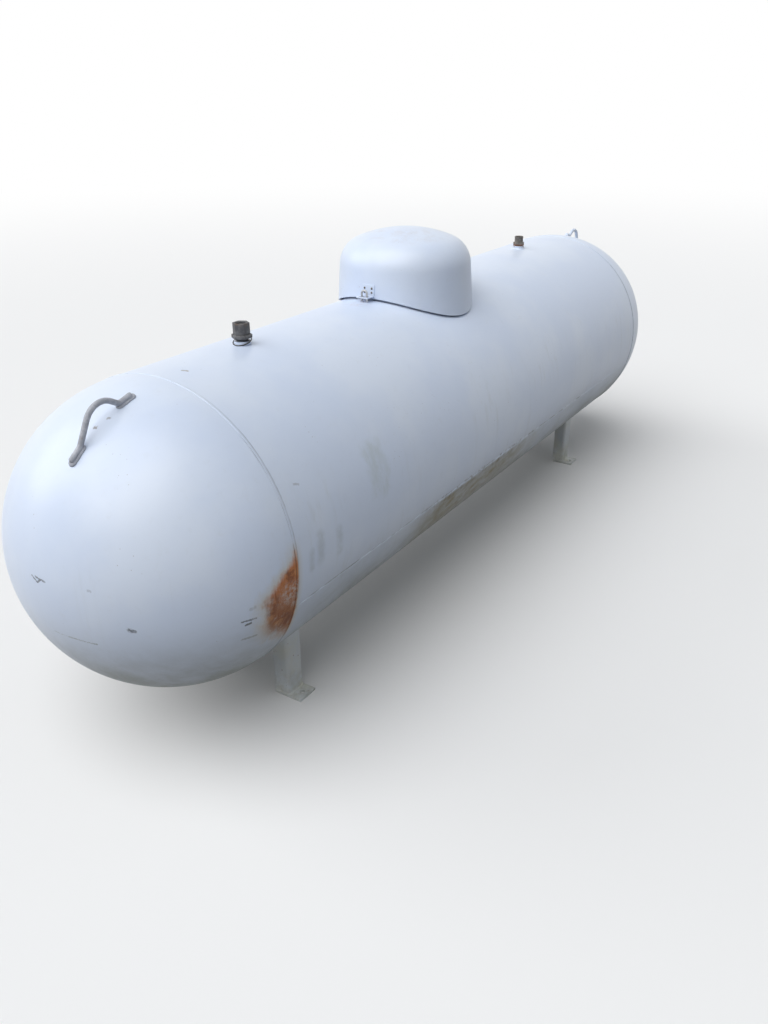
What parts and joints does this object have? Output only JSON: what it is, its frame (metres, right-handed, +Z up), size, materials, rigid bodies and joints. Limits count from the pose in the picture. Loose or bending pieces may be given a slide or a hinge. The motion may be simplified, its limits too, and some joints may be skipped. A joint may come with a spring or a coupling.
{
  "type": "horizontal pressure tank",
  "caption": "Long horizontal gas storage tank on legs, with hemispherical ends, crown fittings, end lifting lugs and a hinged dome lid over the valve group.",
  "frame": {"origin": "on the ground, at the middle of the tank's length and width", "axes": "+X along the tank towards the far end, -Y towards the side with the lengthwise weld, +Z up"},
  "size_m": [3.023, 0.765, 1.095],
  "materials": {
    "tank_paint": "semi-gloss",
    "grey_lug_paint": "weathered",
    "weathered_valve": "weathered",
    "rusty_fitting": "rusty",
    "dull_steel": "dull",
    "black_wire": "satin",
    "valve_brass": "aged",
    "black_plastic": "matt"
  },
  "bodies": {
    "tank": {"barrel": "tank_paint", "near_head": "tank_paint", "far_head": "tank_paint", "near_girth_weld": "tank_paint", "far_girth_weld": "tank_paint", "barrel_seam_weld": "tank_paint", "leg_near_front": "tank_paint", "leg_near_back": "tank_paint", "leg_far_front": "tank_paint", "leg_far_back": "tank_paint", "near_lifting_lug": "grey_lug_paint", "near_lug_welds": "grey_lug_paint", "far_lifting_lug": "tank_paint", "far_lug_welds": "tank_paint", "relief_boss": "tank_paint", "relief_valve_body": "weathered_valve", "relief_valve_poppet": "dull_steel", "relief_wire_ring": "black_wire", "plug_boss": "tank_paint", "plug_body": "rusty_fitting", "plug_cap": "rusty_fitting", "dome_collar": "tank_paint", "hinge_bracket": "tank_paint", "hinge_pin": "dull_steel", "hasp_staple": "dull_steel", "gauge_boss": "tank_paint", "gauge_head": "dull_steel", "gauge_dial": "black_plastic", "fill_boss": "tank_paint", "fill_valve": "valve_brass", "fill_cap": "black_plastic", "service_boss": "tank_paint", "service_valve": "valve_brass", "service_handwheel": "dull_steel", "vapour_boss": "tank_paint", "vapour_valve": "valve_brass", "vapour_cap": "black_plastic"},
    "dome_lid": {"dome_lid": "tank_paint", "lid_hinge_strap": "tank_paint", "lid_hasp": "tank_paint", "lid_stop": "tank_paint"}
  },
  "joints": [
    {"name": "dome_hinge", "type": "hinge", "parent": "tank", "child": "dome_lid", "pos_m": [0.16184, 0, 0.929], "axis": [0, 1, 0], "range_deg": [0, 100]}
  ]
}
